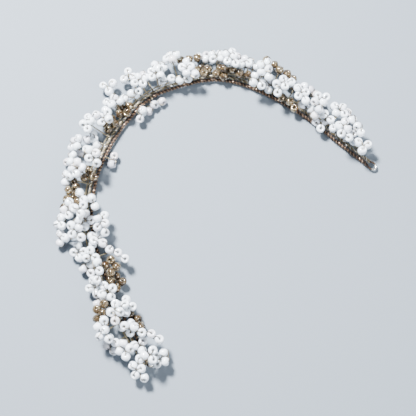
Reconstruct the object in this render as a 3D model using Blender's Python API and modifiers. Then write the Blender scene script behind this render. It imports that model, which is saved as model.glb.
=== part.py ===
"""Beaded flower crown: a half crown of wired seed-bead flowers on a bound double wire.

The crown lies as it does on a table. +Z is up, +Y runs along its longest side, and the
origin is under the middle of its bounding box, on the table.
"""

import math

import bmesh
import bpy
import numpy as np
from mathutils import Matrix, Vector

MM = 0.001  # the design is in millimetres, and meshes are in metres

# Beads: 6/0 glass seed beads
BEAD_RADIUS = 2.0
BEAD_HALF_HEIGHT = 1.42
BEAD_HOLE_RADIUS = 0.62
BEAD_GAP = 0.16  # between beads of different clusters
BEAD_SIDES = 6
BARREL_RADIUS = 1.85  # of a clustered bead's corners, so that touching beads don't cut each other
FACING_WEIGHT = 0.25  # beads are joined by their nearest sides, or by ones that face each other
BELT_RADIUS = 0.866  # of a three-ring sphere's belt, as a share of the sphere's radius
TURNED_BEAD_STEPS = 10
TURNED_PROFILE_POINTS = 8
PROFILE_POWER = 0.8  # below 1 makes the profile fuller than an ellipse
WELD_DISTANCE = 1e-6

# Band: a core wire doubled back on itself, with each strand bound in fine wire
BAND_HEIGHT = 1.6
STRAND_OFFSET = 0.95
CORE_RADIUS = 0.45
BINDING_RADIUS = 0.875
BINDING_WALL = 0.22
BAND_STEP = 8.0
BINDING_END = 4.5  # the bindings stop this far from each end of the band's line
# Each eye's half outline, as (distance past the bindings, offset)
EYE_OUTLINE = [(1.0, 0.95), (2.0, 1.3), (3.1, 1.5), (4.1, 1.3), (4.8, 0.75), (5.1, 0.0)]
EYE_FLAT_HEIGHT = 0.3  # the eyes are pressed flat to this height each side of the wire's middle
EYE_FLAT_START = 2.2
EYE_FLAT_LENGTH = 4.0
PRESS_THICKNESS = 2.0
PRESS_WIDTH = 8.0

# Stems: fine wire that runs along the band and out to each cluster and back
WIRE_RADIUS = 0.2
STEM_HALF_SPACING = 0.375
RUN_OFFSET = 2.45
LIFT_OFFSET = 1.25
LIFT_HEIGHT = 3.45
STEM_NECK = 3.4
STEM_END = 1.9
STEM_SPACING = 2.4
STEM_CLEARANCE = 0.72
STEM_END_CLEARANCE = 0.4
STEM_OVER_BAND = 0.4  # how far past the bindings a stem still counts as over the band
FOOT_CLEARANCE = 0.5
STEM_SAMPLE_STEP = 0.6
FIRST_BASE = 8.0
LAST_BASE_FROM_END = 2.0

# Sprigs: how the beads of one sprig sit, in bead radii or millimetres
LEAN_OUT = 0.55
LEAN_UP = 3.0
LEAN_SCATTER = 0.8
CLOSENESS = 0.98  # of touching beads
RING_ANGLE_SCATTER = 0.08
RING_OF_FOUR_WIDTH = 0.88
RING_HEIGHT_SCATTER = 0.35
RING_OPENING = 0.35
RING_AXIS_SCATTER = 0.3
PATCH_HALF_WIDTH = 0.85
PATCH_DOME = 0.9
PATCH_DOME_FALL = 0.06
PATCH_HEIGHT_SCATTER = 0.3
PATCH_OPENING = 0.12
PATCH_AXIS_SCATTER = 0.25
ROW_STEP = 1.9
ROW_ZIGZAG = 0.5
ROW_HEIGHT_SCATTER = 0.3
ROW_AXIS_SCATTER = 0.45

# Free flowers: three beads that turn on their wire
FREE_RING = 2.58
FREE_FOOT_OFFSET = 3.15
FREE_LEAN = 0.35
LOOP_CLEARANCE = 0.55

# The band's line seen from above, from the right end to the left end
BAND_ROUTE = [
    (73, 18), (60, 29), (45, 42), (30, 52), (15, 59), (2, 61), (-12, 58), (-26, 52),
    (-37, 40), (-45, 26), (-50, 11), (-51, -8), (-46, -26), (-38, -45), (-28, -61), (-23, -68),
]

# Each cluster is one node: its glass, and its sprigs as
# (arrangement, beads, distance along the band, offset outwards, height, turn in degrees)
CLUSTERS = [
    ("white", [("patch", 5, 21, 2, 8, 100), ("ring", 3, 17, 3, 3, 60)]),
    ("white", [("ring", 3, 23, 11, 5, 90), ("row", 3, 17, 7, 6, -65)]),
    ("white", [("ring", 4, 27, 7, 8, 135), ("row", 3, 28, 2, 8, -60)]),
    ("white", [("row", 3, 37, 1, 5, -50), ("ring", 3, 31, 0, 6, 150)]),
    ("white", [("patch", 5, 36, 5, 9, 60), ("row", 3, 41, 9, 5, -70)]),
    ("white", [("patch", 5, 45, 4, 9, 90), ("row", 3, 49, 9, 5, -30)]),
    ("gold", [("row", 3, 47, 0, 5, -45)]),
    ("gold", [("row", 5, 58, 10, 5, -45)]),
    ("white", [("patch", 5, 53, 3, 9, 40), ("ring", 3, 58, 2, 6, 120)]),
    ("white", [("patch", 5, 63, 5, 9, 90), ("ring", 4, 65, 1, 7, 120)]),
    ("white", [("row", 3, 70, 5, 6, 0), ("row", 3, 73, 10, 4, -50), ("patch", 5, 78, 6, 8, 100)]),
    ("gold", [("row", 4, 74, 2, 4, -20), ("ring", 4, 81, 2, 4, 20)]),
    ("white", [("ring", 4, 83, 8, 6, 135), ("ring", 3, 88, 9, 4, 60)]),
    ("gold", [("ring", 4, 88, 4, 5, 20), ("row", 3, 93, 10, 4, 0)]),
    ("white", [("patch", 5, 95, 3, 8, 120), ("row", 4, 101, 3, 7, 0)]),
    ("white", [("ring", 4, 100, 10, 5, 110), ("ring", 4, 106, 10, 5, 135)]),
    ("white", [("ring", 4, 109, 5, 8, 60), ("ring", 3, 112, 9, 4, 120), ("ring", 4, 115, 5, 7, 30)]),
    ("white", [("row", 3, 121, 5, 3, 10), ("patch", 5, 129, 8, 6, 20)]),
    ("white", [("row", 3, 116, -5, 2.5, 40), ("row", 2, 124, -5, 2.5, 60)]),
    ("gold", [("ring", 4, 127, 3, 5, 45), ("ring", 4, 134, 4, 5, 80)]),
    ("white", [("ring", 4, 136, 7, 8, 60), ("patch", 5, 141, 10, 7, 70), ("ring", 3, 145, 8, 5, 80)]),
    ("white", [("ring", 4, 150, 13, 4, 20), ("row", 3, 150, 7, 5, -10)]),
    ("white", [("patch", 5, 153, 2, 9, 90), ("row", 2, 150, -5, 2.5, 60)]),
    ("white", [("ring", 3, 156, 12, 4, 60), ("ring", 4, 161, 7, 8, 90), ("ring", 3, 164, 10, 4, 0)]),
    ("gold", [("ring", 3, 161, 2, 6, 90)]),
    ("gold", [("row", 4, 168, 8, 5, -70), ("row", 4, 173, 10, 4, -125)]),
    ("white", [("row", 2, 172, 3, 7, -70), ("row", 2, 173, -2, 6, -80)]),
    ("white", [("ring", 4, 181, 1, 6, 90), ("ring", 3, 178, 3, 9, 50)]),
    ("white", [("ring", 4, 177, 8, 6, 90), ("ring", 3, 180, 11, 4, 60)]),
    ("white", [("patch", 5, 184, -5, 6, 90)]),
    ("white", [("patch", 5, 185, 5, 9, 100), ("ring", 3, 186, 12, 4, 0), ("ring", 4, 193, 6, 6, 90)]),
    ("white", [("ring", 4, 190, -2, 5, 60), ("ring", 3, 197, 2, 8, 90)]),
    ("white", [("row", 5, 197, -6, 6, -25)]),
    ("white", [("ring", 3, 201, 5, 5, 60), ("row", 3, 205, 1, 10, -90)]),
    ("gold", [("ring", 4, 204, -4.5, 5, 90), ("ring", 4, 210, -4.5, 5, 90)]),
    ("white", [("ring", 4, 210, 4, 5, 100), ("ring", 4, 215, 1, 8, 120), ("ring", 3, 216, 5, 4, 60)]),
    ("gold", [("patch", 5, 221, 6, 5, 90)]),
    ("white", [("ring", 4, 223, -4, 6, 90), ("patch", 5, 222, 1, 7, 60)]),
    ("gold", [("row", 3, 229, -5, 4, -50)]),
    ("white", [("patch", 5, 227, 9, 5, 100), ("ring", 4, 233, 9, 5, 100), ("ring", 4, 238, 6, 7, 100)]),
    ("white", [("ring", 3, 231, 0, 7, 60), ("row", 5, 236, -4, 7, -20), ("ring", 3, 240, 0, 4, 60)]),
    ("white", [("ring", 4, 249, -4, 5, 60), ("ring", 3, 246, -1, 8, 60), ("patch", 5, 247, 5, 5, 100)]),
]

# Free flowers: (distance along the band, offset outwards, height, turn in degrees)
FREE_FLOWERS = [(10, 3, 7.5, 20), (116, 12, 5, 100), (124, 15, 5, 40)]

STEM_WIRE_NAMES = ["stem_wire_right", "stem_wire_top", "stem_wire_left"]
STEM_WIRE_ENDS = [82, 160, 260]
SEED = 7

# Settling: how sprigs that cut each other are moved apart
SETTLING_STEPS = 260
SETTLING_RATE = 0.8
SAME_CLUSTER_SPACING = 1.875  # in bead radii
BAND_CLEARANCE = 0.15
RUN_HALF_WIDTH = 0.3
RISE_SHARE = 1.3  # beads that meet move more upwards than sideways
BAND_PUSH = 1.5
BAND_RISE = 0.3
TABLE_CLEARANCE = 0.02
HOMING_SHARE = 0.6  # of the steps in which sprigs are also drawn back to their own places
HOMING = np.array([0.06, 0.06, 0.02])


# ---------------------------------------------------------------- the band's line


def smooth_route(points, steps=40):
    """Points along a Catmull-Rom curve through the given ones."""
    knots = np.array(points, float)
    knots = np.vstack([2 * knots[0] - knots[1], knots, 2 * knots[-1] - knots[-2]])
    found = []
    for i in range(1, len(knots) - 2):
        a, b, c, d = knots[i - 1 : i + 3]
        for t in np.arange(steps) / steps:
            bend = (2 * a - 5 * b + 4 * c - d) * t**2 + (3 * b - 3 * c + d - a) * t**3
            found.append(0.5 * (2 * b + (c - a) * t + bend))
    found.append(knots[-2])
    return np.array(found)


LINE = smooth_route(BAND_ROUTE)
ALONG = np.r_[0, np.cumsum(np.linalg.norm(np.diff(LINE, axis=0), axis=1))]
HEADING = np.gradient(LINE, axis=0)
BAND_LENGTH = ALONG[-1]


def tangent(s):
    """Unit direction of the band at a distance s from its right end."""
    t = np.array([np.interp(s, ALONG, HEADING[:, 0]), np.interp(s, ALONG, HEADING[:, 1]), 0.0])
    return t / np.linalg.norm(t)


def outward(s):
    """Unit direction away from the head, square to the band."""
    t = tangent(s)
    return np.array([t[1], -t[0], 0.0])


def on_band(s, offset=0.0, height=BAND_HEIGHT):
    """The point beside the band; past either end it goes straight on."""
    beyond = max(s - BAND_LENGTH, 0.0) + min(s, 0.0)
    middle = np.array([np.interp(s, ALONG, LINE[:, 0]), np.interp(s, ALONG, LINE[:, 1]), height])
    return middle + outward(s) * offset + tangent(s) * beyond


def unit(vector):
    return vector / np.linalg.norm(vector)


# ---------------------------------------------------------------- where the beads lie


def face_directions(axis, turn):
    """Two unit vectors square to the axis, the first one turned by the given angle in plan."""
    plan = np.array([math.cos(math.radians(turn)), math.sin(math.radians(turn)), 0.0])
    u = unit(plan - axis * (plan @ axis))
    return u, np.cross(axis, u)


def bead_ring(count, axis, u, v, rng):
    """Offsets and hole axes of beads that touch round a hub."""
    ring = BEAD_RADIUS * CLOSENESS / math.sin(math.pi / count)
    offsets, axes = [], []
    for i in range(count):
        angle = 2 * math.pi * i / count + rng.uniform(-RING_ANGLE_SCATTER, RING_ANGLE_SCATTER)
        out = u * math.cos(angle) + v * math.sin(angle)
        reach = ring * (RING_OF_FOUR_WIDTH if count == 4 and i % 2 else 1.0)
        offsets.append(out * reach + axis * rng.uniform(-RING_HEIGHT_SCATTER, RING_HEIGHT_SCATTER))
        axes.append(unit(axis + out * RING_OPENING + rng.uniform(-RING_AXIS_SCATTER, RING_AXIS_SCATTER, 3)))
    return offsets, axes


def bead_patch(count, axis, u, v, rng):
    """Offsets and hole axes of beads in two staggered rows, domed in the middle."""
    step = BEAD_RADIUS * CLOSENESS
    offsets, axes = [], []
    for i in range(count):
        across = (i - (count - 1) / 2) * step
        along = (PATCH_HALF_WIDTH if i % 2 else -PATCH_HALF_WIDTH) * step
        flat = u * across + v * along
        dome = PATCH_DOME - PATCH_DOME_FALL * across**2
        offsets.append(flat + axis * (dome + rng.uniform(-PATCH_HEIGHT_SCATTER, PATCH_HEIGHT_SCATTER)))
        axes.append(unit(axis + flat * PATCH_OPENING + rng.uniform(-PATCH_AXIS_SCATTER, PATCH_AXIS_SCATTER, 3)))
    return offsets, axes


def bead_row(count, axis, u, v, rng):
    """Offsets and hole axes of beads in a slightly zigzag row."""
    offsets, axes = [], []
    for i in range(count):
        flat = u * (i - (count - 1) / 2) * BEAD_RADIUS * ROW_STEP + v * (ROW_ZIGZAG if i % 2 else -ROW_ZIGZAG)
        offsets.append(flat + axis * rng.uniform(-ROW_HEIGHT_SCATTER, ROW_HEIGHT_SCATTER))
        axes.append(unit(axis + rng.uniform(-ROW_AXIS_SCATTER, ROW_AXIS_SCATTER, 3)))
    return offsets, axes


def make_sprig(arrangement, count, s, offset, height, turn, rng):
    """A sprig's hub, the axis that it faces along, and its beads."""
    lean = outward(s) * LEAN_OUT * offset + np.array([0, 0, height - BAND_HEIGHT + LEAN_UP])
    axis = unit(lean + rng.uniform(-1, 1, 3) * LEAN_SCATTER)
    u, v = face_directions(axis, turn)
    arrange = {"ring": bead_ring, "patch": bead_patch, "row": bead_row}[arrangement]
    offsets, axes = arrange(count, axis, u, v, rng)
    hub = on_band(s, offset, height)
    return {"hub": hub, "axis": axis, "offsets": offsets, "axes": axes, "s": s, "arrangement": arrangement}


def make_free_flower(s, offset, height, turn):
    """A flower of three beads that don't touch, all facing the same way."""
    axis = unit(outward(s) * FREE_LEAN + np.array([0, 0, 1.0]))
    u, v = face_directions(axis, turn)
    angles = [2 * math.pi * i / 3 for i in range(3)]
    offsets = [(u * math.cos(a) + v * math.sin(a)) * FREE_RING for a in angles]
    hub = on_band(s, offset, height)
    return {"hub": hub, "axis": axis, "offsets": offsets, "axes": [axis] * 3, "s": s, "arrangement": "free"}


def stem_line(sprig, hub):
    """A stem's middle line, from the run beside the band, over the band if need be, to the sprig."""
    base = sprig["base"]
    neck = hub - sprig["axis"] * STEM_NECK
    reach = (neck - on_band(base)) @ outward(base)
    over_band = abs(reach) < STRAND_OFFSET + BINDING_RADIUS + STEM_OVER_BAND
    from_side = neck[2] < (LIFT_HEIGHT if over_band else BAND_HEIGHT)
    line = [on_band(base, RUN_OFFSET)]
    if reach < STRAND_OFFSET * 2:
        line.append(on_band(base, LIFT_OFFSET, LIFT_HEIGHT))
    if reach < -STRAND_OFFSET:
        line.append(on_band(base, -LIFT_OFFSET - STEM_OVER_BAND, LIFT_HEIGHT))
    if not from_side:
        return line + [neck, hub - sprig["axis"] * STEM_END]
    beads = hub + np.array(sprig["offsets"])
    span = hub - line[-1]
    for share in np.arange(0.9, 0.15, -0.05):
        end = line[-1] + span * share
        if np.linalg.norm(beads - end, axis=1).min() > BEAD_RADIUS + STEM_END_CLEARANCE:
            return line + [end]
    return line


def sampled(line):
    """Evenly spaced points along a run of straight pieces."""
    found = []
    for a, b in zip(line[:-1], line[1:]):
        count = max(1, int(np.linalg.norm(b - a) / STEM_SAMPLE_STEP))
        found += [a + (b - a) * k / count for k in range(count)]
    return np.array(found + [line[-1]])


def spread_bases(sprigs):
    """Sets where each cluster's stem leaves the run, no two closer than the stem spacing."""
    leaders = sorted((sp for sp in sprigs if sp["leads"]), key=lambda sp: sp["s"])
    bases = np.array([sp["s"] for sp in leaders], float)
    for _ in range(200):
        for j in range(len(bases) - 1):
            short = max(STEM_SPACING - (bases[j + 1] - bases[j]), 0.0) / 2
            bases[j] -= short
            bases[j + 1] += short
        bases = np.clip(bases, FIRST_BASE, BAND_LENGTH - LAST_BASE_FROM_END)
    for sp, base in zip(leaders, bases):
        sp["base"] = base


def deepest_push(beads, points, need):
    """How each bead is pushed out of the spheres of radius need round the given points."""
    away = beads[:, None] - points[None]
    distance = np.linalg.norm(away, axis=2)
    over = np.clip(need - distance, 0, None)
    worst = over.argmax(axis=1)
    rows = np.arange(len(beads))
    depth = over[rows, worst]
    return away[rows, worst] / (distance[rows, worst][:, None] + 1e-9) * depth[:, None], depth


def settle(sprigs):
    """Moves whole sprigs apart until no bead cuts another, a stem, the band or the table."""
    own = np.concatenate([[i] * len(sp["offsets"]) for i, sp in enumerate(sprigs)])
    cluster = np.array([sprigs[i]["cluster"] for i in own])
    offsets = np.vstack([sp["offsets"] for sp in sprigs])
    hubs = np.array([sp["hub"] for sp in sprigs])
    home = hubs.copy()
    together = cluster[:, None] == cluster[None, :]
    apart = np.where(together, BEAD_RADIUS * SAME_CLUSTER_SPACING, BEAD_RADIUS * 2 + BEAD_GAP)
    apart[own[:, None] == own[None, :]] = 0
    lines = ((-STRAND_OFFSET, BINDING_RADIUS), (STRAND_OFFSET, BINDING_RADIUS), (RUN_OFFSET, RUN_HALF_WIDTH))
    stations = np.arange(-1, BAND_LENGTH + 1, 1.0)
    band_points = np.array([on_band(s, offset) for s in stations for offset, _ in lines])
    band_need = np.array([BEAD_RADIUS + radius + BAND_CLEARANCE for _ in stations for _, radius in lines])[None]
    for step in range(SETTLING_STEPS):
        beads = hubs[own] + offsets
        away = beads[:, None] - beads[None]
        distance = np.linalg.norm(away, axis=2) + 1e-9
        over = np.clip(apart - distance, 0, None)
        np.fill_diagonal(over, 0)
        push = (away / distance[..., None] * over[..., None]).sum(axis=1)
        push[:, 2] *= RISE_SHARE
        hits = (over > 0).sum(axis=1).astype(float)
        from_band, depth = deepest_push(beads, band_points, band_need)
        from_band[:, 2] = np.abs(from_band[:, 2]) + BAND_RISE * depth
        push += BAND_PUSH * from_band
        hits += depth > 0
        for i, sp in enumerate(sprigs):
            if not sp["leads"]:
                continue
            line = stem_line(sp, hubs[i])
            others = own != i
            from_stem, depth = deepest_push(beads, sampled(line), BEAD_RADIUS + STEM_CLEARANCE)
            push += from_stem * others[:, None]
            hits += (depth > 0) & others
            foot = line[:-1] if len(line) > 2 else line[:1]
            from_foot, depth = deepest_push(beads, sampled(foot), BEAD_RADIUS + FOOT_CLEARANCE)
            push += from_foot * (own == i)[:, None]
            hits += (depth > 0) & (own == i)
        moves = np.array([np.bincount(own, push[:, k], len(sprigs)) for k in range(3)]).T
        hubs += SETTLING_RATE * moves / np.maximum(np.bincount(own, hits, len(sprigs)), 1)[:, None]
        lift = np.zeros(len(sprigs))
        np.maximum.at(lift, own, np.clip(BEAD_RADIUS + TABLE_CLEARANCE - beads[:, 2], 0, None))
        hubs[:, 2] += lift
        if step < SETTLING_STEPS * HOMING_SHARE:
            hubs += (home - hubs) * HOMING
    for sp, hub in zip(sprigs, hubs):
        sp["hub"] = hub


def lay_sprigs():
    """All sprigs of the crown, settled, in the order of the tables above."""
    rng = np.random.default_rng(SEED)
    sprigs = []
    for number, (glass, group) in enumerate(CLUSTERS):
        for k, row in enumerate(group):
            sprigs.append({**make_sprig(*row, rng), "glass": glass, "cluster": number, "leads": k == 0})
    for number, row in enumerate(FREE_FLOWERS):
        flower = {**make_free_flower(*row), "glass": "white", "cluster": len(CLUSTERS) + number, "leads": True}
        sprigs.append(flower)
    spread_bases(sprigs)
    settle(sprigs)
    return sprigs


# ---------------------------------------------------------------- scene helpers


def clear_scene():
    for obj in list(bpy.data.objects):
        bpy.data.objects.remove(obj, do_unlink=True)


def new_collection(name, hidden=False):
    collection = bpy.data.collections.new(name)
    bpy.context.scene.collection.children.link(collection)
    collection.hide_render = hidden
    return collection


def principled(name, colour, roughness, metallic):
    material = bpy.data.materials.new(name)
    material.use_nodes = True
    shader = material.node_tree.nodes["Principled BSDF"]
    shader.inputs["Base Color"].default_value = (*colour, 1.0)
    shader.inputs["Roughness"].default_value = roughness
    shader.inputs["Metallic"].default_value = metallic
    return material


def metres(point):
    return Vector(point) * MM


def place(name, data, collection, material=None, parent=None):
    obj = bpy.data.objects.new(name, data)
    collection.objects.link(obj)
    obj.parent = parent
    if material:
        data.materials.append(material)
    return obj


def wire_curve(name, points, radius, resolution, caps=True, cyclic=False, flat=False):
    """A round wire through the points, in millimetres."""
    data = bpy.data.curves.new(name, "CURVE")
    data.dimensions = "3D"
    data.twist_mode = "Z_UP" if flat else "MINIMUM"
    data.bevel_depth = radius * MM
    data.bevel_resolution = resolution
    data.use_fill_caps = caps
    spline = data.splines.new("POLY")
    spline.points.add(len(points) - 1)
    for slot, point in zip(spline.points, points):
        slot.co = (*metres(point), 1.0)
        slot.radius = 1.0
    spline.use_cyclic_u = cyclic
    return data


def mesh_of_curve(data):
    """The curve's surface as a mesh, its caps welded on."""
    helper = bpy.data.objects.new(data.name, data)
    bpy.context.scene.collection.objects.link(helper)
    graph = bpy.context.evaluated_depsgraph_get()
    mesh = bpy.data.meshes.new_from_object(helper.evaluated_get(graph))
    bpy.data.objects.remove(helper)
    shape = bmesh.new()
    shape.from_mesh(mesh)
    bmesh.ops.remove_doubles(shape, verts=shape.verts, dist=WELD_DISTANCE)
    bmesh.ops.recalc_face_normals(shape, faces=shape.faces)
    shape.to_mesh(mesh)
    shape.free()
    return mesh


# ---------------------------------------------------------------- band


def band_stations():
    count = round((BAND_LENGTH - 2 * BINDING_END) / BAND_STEP)
    return [BINDING_END + (BAND_LENGTH - 2 * BINDING_END) * k / count for k in range(count + 1)]


def core_points():
    """The core wire's closed line: inner strand, left eye, outer strand, right eye."""
    stations = band_stations()
    left_end, right_end = BAND_LENGTH - BINDING_END, BINDING_END
    left = [on_band(left_end + x, -y) for x, y in EYE_OUTLINE]
    left += [on_band(left_end + x, y) for x, y in reversed(EYE_OUTLINE[:-1])]
    right = [on_band(right_end - x, y) for x, y in EYE_OUTLINE]
    right += [on_band(right_end - x, -y) for x, y in reversed(EYE_OUTLINE[:-1])]
    inner = [on_band(s, -STRAND_OFFSET) for s in stations]
    outer = [on_band(s, STRAND_OFFSET) for s in reversed(stations)]
    return inner + left + outer + right


def eye_cutter(name, s, collection, parent):
    """Two slabs, above and below an eye, that leave it flat on both sides."""
    shape = bmesh.new()
    size = Matrix.Diagonal((EYE_FLAT_LENGTH * MM, PRESS_WIDTH * MM, PRESS_THICKNESS * MM, 1.0))
    for side in (-1, 1):
        middle = Vector((0, 0, side * (EYE_FLAT_HEIGHT + PRESS_THICKNESS / 2) * MM))
        bmesh.ops.create_cube(shape, size=1.0, matrix=Matrix.Translation(middle) @ size)
    mesh = bpy.data.meshes.new(name)
    shape.to_mesh(mesh)
    shape.free()
    cutter = place(name, mesh, collection, parent=parent)
    past = 1 if s > BINDING_END else -1
    direction = tangent(s)
    cutter.location = metres(on_band(s + past * (EYE_FLAT_START + EYE_FLAT_LENGTH / 2)))
    cutter.rotation_euler = (0, 0, math.atan2(direction[1], direction[0]))
    cutter.hide_render = True
    cutter.display_type = "WIRE"
    return cutter


def build_band(parts, cutters, crown, materials):
    line = wire_curve("core", core_points(), CORE_RADIUS, 2, cyclic=True, flat=True)
    core = place("core_wire", mesh_of_curve(line), parts, materials["core"], crown)
    for name, s in (("right_eye_press", BINDING_END), ("left_eye_press", BAND_LENGTH - BINDING_END)):
        press = core.modifiers.new(name, "BOOLEAN")
        press.operation = "DIFFERENCE"
        press.solver = "EXACT"
        press.object = eye_cutter(name, s, cutters, crown)
    core.data.shade_smooth()
    for name, offset, finish in (("binding_wire_inner", -STRAND_OFFSET, "binding"),
                                 ("binding_wire_outer", STRAND_OFFSET, "stem")):
        line = [on_band(s, offset) for s in band_stations()]
        surface = mesh_of_curve(wire_curve(name, line, BINDING_RADIUS, 2, caps=False, flat=True))
        sleeve = place(name, surface, parts, materials[finish], crown)
        wall = sleeve.modifiers.new("wall", "SOLIDIFY")
        wall.thickness = BINDING_WALL * MM
        wall.offset = -1
        sleeve.data.shade_smooth()


# ---------------------------------------------------------------- stems


def stem_loop(sprig, base):
    """The wire out to a cluster and back, as two strands side by side."""
    line = stem_line(sprig, sprig["hub"])
    side = tangent(base)
    out, back = [], []
    for k, point in enumerate(line):
        ahead = unit(line[min(k + 1, len(line) - 1)] - line[max(k - 1, 0)])
        across = unit(side - ahead * (side @ ahead)) * STEM_HALF_SPACING
        out.append(point - across)
        back.append(point + across)
    return out + back[::-1]


def stem_wire_points(sprigs):
    points = [on_band(sprigs[0]["base"] - STEM_SPACING / 2, RUN_OFFSET)]
    for sprig in sprigs:
        points += stem_loop(sprig, sprig["base"])
    points.append(on_band(sprigs[-1]["base"] + STEM_SPACING / 2, RUN_OFFSET))
    return points


def build_stems(sprigs, parts, crown, materials):
    leaders = [sp for sp in sprigs if sp["leads"] and sp["arrangement"] != "free"]
    leaders.sort(key=lambda sp: sp["base"])
    start = 0
    for name, end in zip(STEM_WIRE_NAMES, STEM_WIRE_ENDS):
        served = [sp for sp in leaders if start <= sp["base"] < end]
        start = end
        curve = wire_curve(name, stem_wire_points(served), WIRE_RADIUS, 1)
        place(name, curve, parts, materials["stem"], crown)


# ---------------------------------------------------------------- beads


def bead_matrix(centre, axis):
    """Places a bead with its hole along the axis."""
    turn = Vector(axis).to_track_quat("Z", "Y").to_matrix().to_4x4()
    return Matrix.Translation(metres(centre)) @ turn


def add_bead(shape, centre, axis):
    """A six-sided barrel the size of a bead; returns the six faces of its belt."""
    width = BARREL_RADIUS / BELT_RADIUS * MM
    scale = Matrix.Diagonal((width, width, BEAD_HALF_HEIGHT * MM, 1.0))
    made = bmesh.ops.create_uvsphere(shape, u_segments=BEAD_SIDES, v_segments=3, radius=1.0,
                                     matrix=bead_matrix(centre, axis) @ scale)
    faces = {face for vert in made["verts"] for face in vert.link_faces}
    return [face for face in faces if len(face.verts) == 4]


def facing_pair(belts, others):
    """The two belt faces, one of each group, that look at each other from the least distance."""
    best = None
    for belt in belts:
        for face in belt:
            for other_belt in others:
                for other in other_belt:
                    span = other.calc_center_median() - face.calc_center_median()
                    way = span.normalized()
                    turned_away = 2 - face.normal.dot(way) + other.normal.dot(way)
                    cost = span.length + FACING_WEIGHT * turned_away * BEAD_RADIUS * MM
                    if best is None or cost < best[0]:
                        best = (cost, belt, face, other_belt, other)
    return best[1:]


def join_beads(shape, belts, others):
    """Joins two groups of beads by the wire that passes from one to the other."""
    belt, face, other_belt, other = facing_pair(belts, others)
    belt.remove(face)
    other_belt.remove(other)
    corners = list(face.verts)
    far = list(other.verts)[::-1]
    turns = [far[k:] + far[:k] for k in range(len(far))]
    matched = min(turns, key=lambda turned: sum((a.co - b.co).length for a, b in zip(corners, turned)))
    bmesh.ops.delete(shape, geom=[face, other], context="FACES_ONLY")
    for k in range(len(corners)):
        shape.faces.new((corners[k - 1], corners[k], matched[k], matched[k - 1]))


def mesh_from(shape, name):
    mesh = bpy.data.meshes.new(name)
    shape.to_mesh(mesh)
    shape.free()
    mesh.shade_smooth()
    return mesh


def build_cluster(name, group, parts, crown, material):
    """One cluster: its beads, each joined to the next by the wire between them."""
    shape = bmesh.new()
    joined = []
    for sprig in group:
        beads = zip(sprig["offsets"], sprig["axes"])
        belts = [add_bead(shape, sprig["hub"] + offset, axis) for offset, axis in beads]
        shape.normal_update()
        for one, following in zip(belts, belts[1:]):
            join_beads(shape, [one], [following])
        if joined:
            join_beads(shape, joined, belts)
        joined += belts
    place(name, mesh_from(shape, name), parts, material, crown)


def build_clusters(sprigs, parts, crown, materials):
    counts = {"white": 0, "gold": 0}
    for number, (glass, _) in enumerate(CLUSTERS):
        counts[glass] += 1
        group = [sp for sp in sprigs if sp["cluster"] == number]
        name = f"{glass}_bead_cluster_{counts[glass]:02d}"
        build_cluster(name, group, parts, crown, materials[glass])


def turned_bead_mesh():
    """A bead's closed profile at +X, running down its outer side."""
    profile = bmesh.new()
    middle = (BEAD_RADIUS + BEAD_HOLE_RADIUS) / 2
    half = (BEAD_RADIUS - BEAD_HOLE_RADIUS) / 2
    verts = []
    for k in range(TURNED_PROFILE_POINTS):
        angle = math.pi / 2 - 2 * math.pi * (k + 0.5) / TURNED_PROFILE_POINTS
        x, z = (math.copysign(abs(f) ** PROFILE_POWER, f) for f in (math.cos(angle), math.sin(angle)))
        verts.append(profile.verts.new(((middle + half * x) * MM, 0, BEAD_HALF_HEIGHT * z * MM)))
    for a, b in zip(verts, verts[1:] + verts[:1]):
        profile.edges.new((a, b))
    mesh = bpy.data.meshes.new("turning_bead")
    profile.to_mesh(mesh)
    profile.free()
    return mesh


def flower_wire_points(flower):
    """One wire: up the stem, through the three beads in turn, and back down beside itself."""
    hub, axis = flower["hub"], flower["axis"]
    base = flower["base"]
    over = axis * (BEAD_HALF_HEIGHT + LOOP_CLEARANCE)
    first, second, third = (hub + offset for offset in flower["offsets"])
    away = unit(third - hub) * STEM_HALF_SPACING * 2
    foot = on_band(base, FREE_FOOT_OFFSET)
    neck = hub - axis * STEM_NECK
    up = [foot, neck, hub - over, hub + over]
    loops = [first + over, first - over, second - over, second + over, third + over, third - over]
    down = [hub - over + away, neck + away, foot + away]
    return up + loops + down


def build_free_flowers(sprigs, parts, crown, materials):
    shared = turned_bead_mesh()
    shared.materials.append(materials["white"])
    flowers = [sp for sp in sprigs if sp["arrangement"] == "free"]
    for number, flower in enumerate(flowers, start=1):
        curve = wire_curve(f"flower_wire_{number}", flower_wire_points(flower), WIRE_RADIUS, 1)
        place(curve.name, curve, parts, materials["stem"], crown)
        for letter, offset in zip("abc", flower["offsets"]):
            bead = bpy.data.objects.new(f"turning_bead_{number}{letter}", shared)
            parts.objects.link(bead)
            bead.parent = crown
            bead.matrix_local = bead_matrix(flower["hub"] + offset, flower["axis"])
            screw = bead.modifiers.new("turned", "SCREW")
            screw.steps = TURNED_BEAD_STEPS
            screw.render_steps = TURNED_BEAD_STEPS
            screw.use_merge_vertices = True
            screw.merge_threshold = WELD_DISTANCE
            screw.use_smooth_shade = True


# ---------------------------------------------------------------- the crown


def middle_of(sprigs):
    """The middle of the crown's bounding box in plan."""
    beads = np.vstack([sp["hub"] + offset for sp in sprigs for offset in sp["offsets"]])
    tip = EYE_OUTLINE[-1][0] - BINDING_END
    ends = np.array([on_band(-tip), on_band(BAND_LENGTH + tip)])
    low = np.minimum((beads - BEAD_RADIUS).min(axis=0), (ends - CORE_RADIUS).min(axis=0))
    high = np.maximum((beads + BEAD_RADIUS).max(axis=0), (ends + CORE_RADIUS).max(axis=0))
    return (low + high) / 2


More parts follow.
